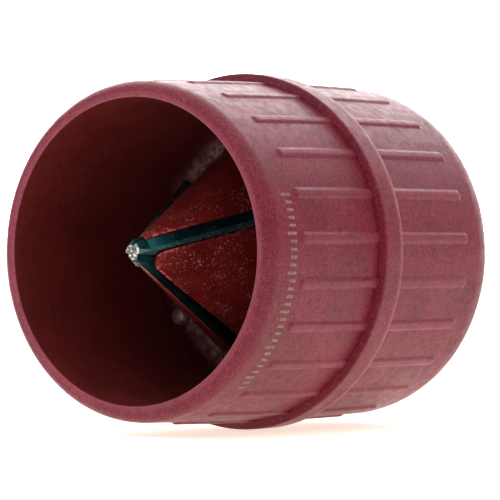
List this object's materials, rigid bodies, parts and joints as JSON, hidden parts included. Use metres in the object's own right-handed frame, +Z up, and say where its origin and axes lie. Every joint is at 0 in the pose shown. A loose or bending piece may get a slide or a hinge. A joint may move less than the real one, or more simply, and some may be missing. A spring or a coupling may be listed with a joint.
{
  "type": "tube deburring tool",
  "caption": "Hand-held round tube deburring tool: a ribbed drum around a slotted cone with straight blades, open at both ends to trim a cut tube's inside and outside edges.",
  "frame": {"origin": "the middle of the tool, on its axis, halfway between the mouth's lip and the rear rim", "axes": "+Y along the tool's axis from the wide mouth at -Y to the rear opening at +Y, +Z up, +X to the right when looking into the mouth; the tool lies on its side as pictured, with the band's lowest line at Z = -25.9 mm"},
  "size_m": [0.0518, 0.0544, 0.0518],
  "materials": {
    "drum_coat": "satin dark red powder coat with a fine speckled grain",
    "cone_coat": "satin deep red powder coat",
    "blade_steel": "blue-black hardened tool steel with bright ground tips",
    "screw_steel": "plain steel, domed heads"
  },
  "bodies": {
    "root": {"front_shell": "drum_coat", "rear_shell": "drum_coat", "blade_carrier": "cone_coat", "blade_1": "blade_steel", "blade_2": "blade_steel", "blade_3": "blade_steel", "flange_screw_1": "screw_steel", "flange_screw_2": "screw_steel", "flange_screw_3": "screw_steel"}
  },
  "joints": []
}
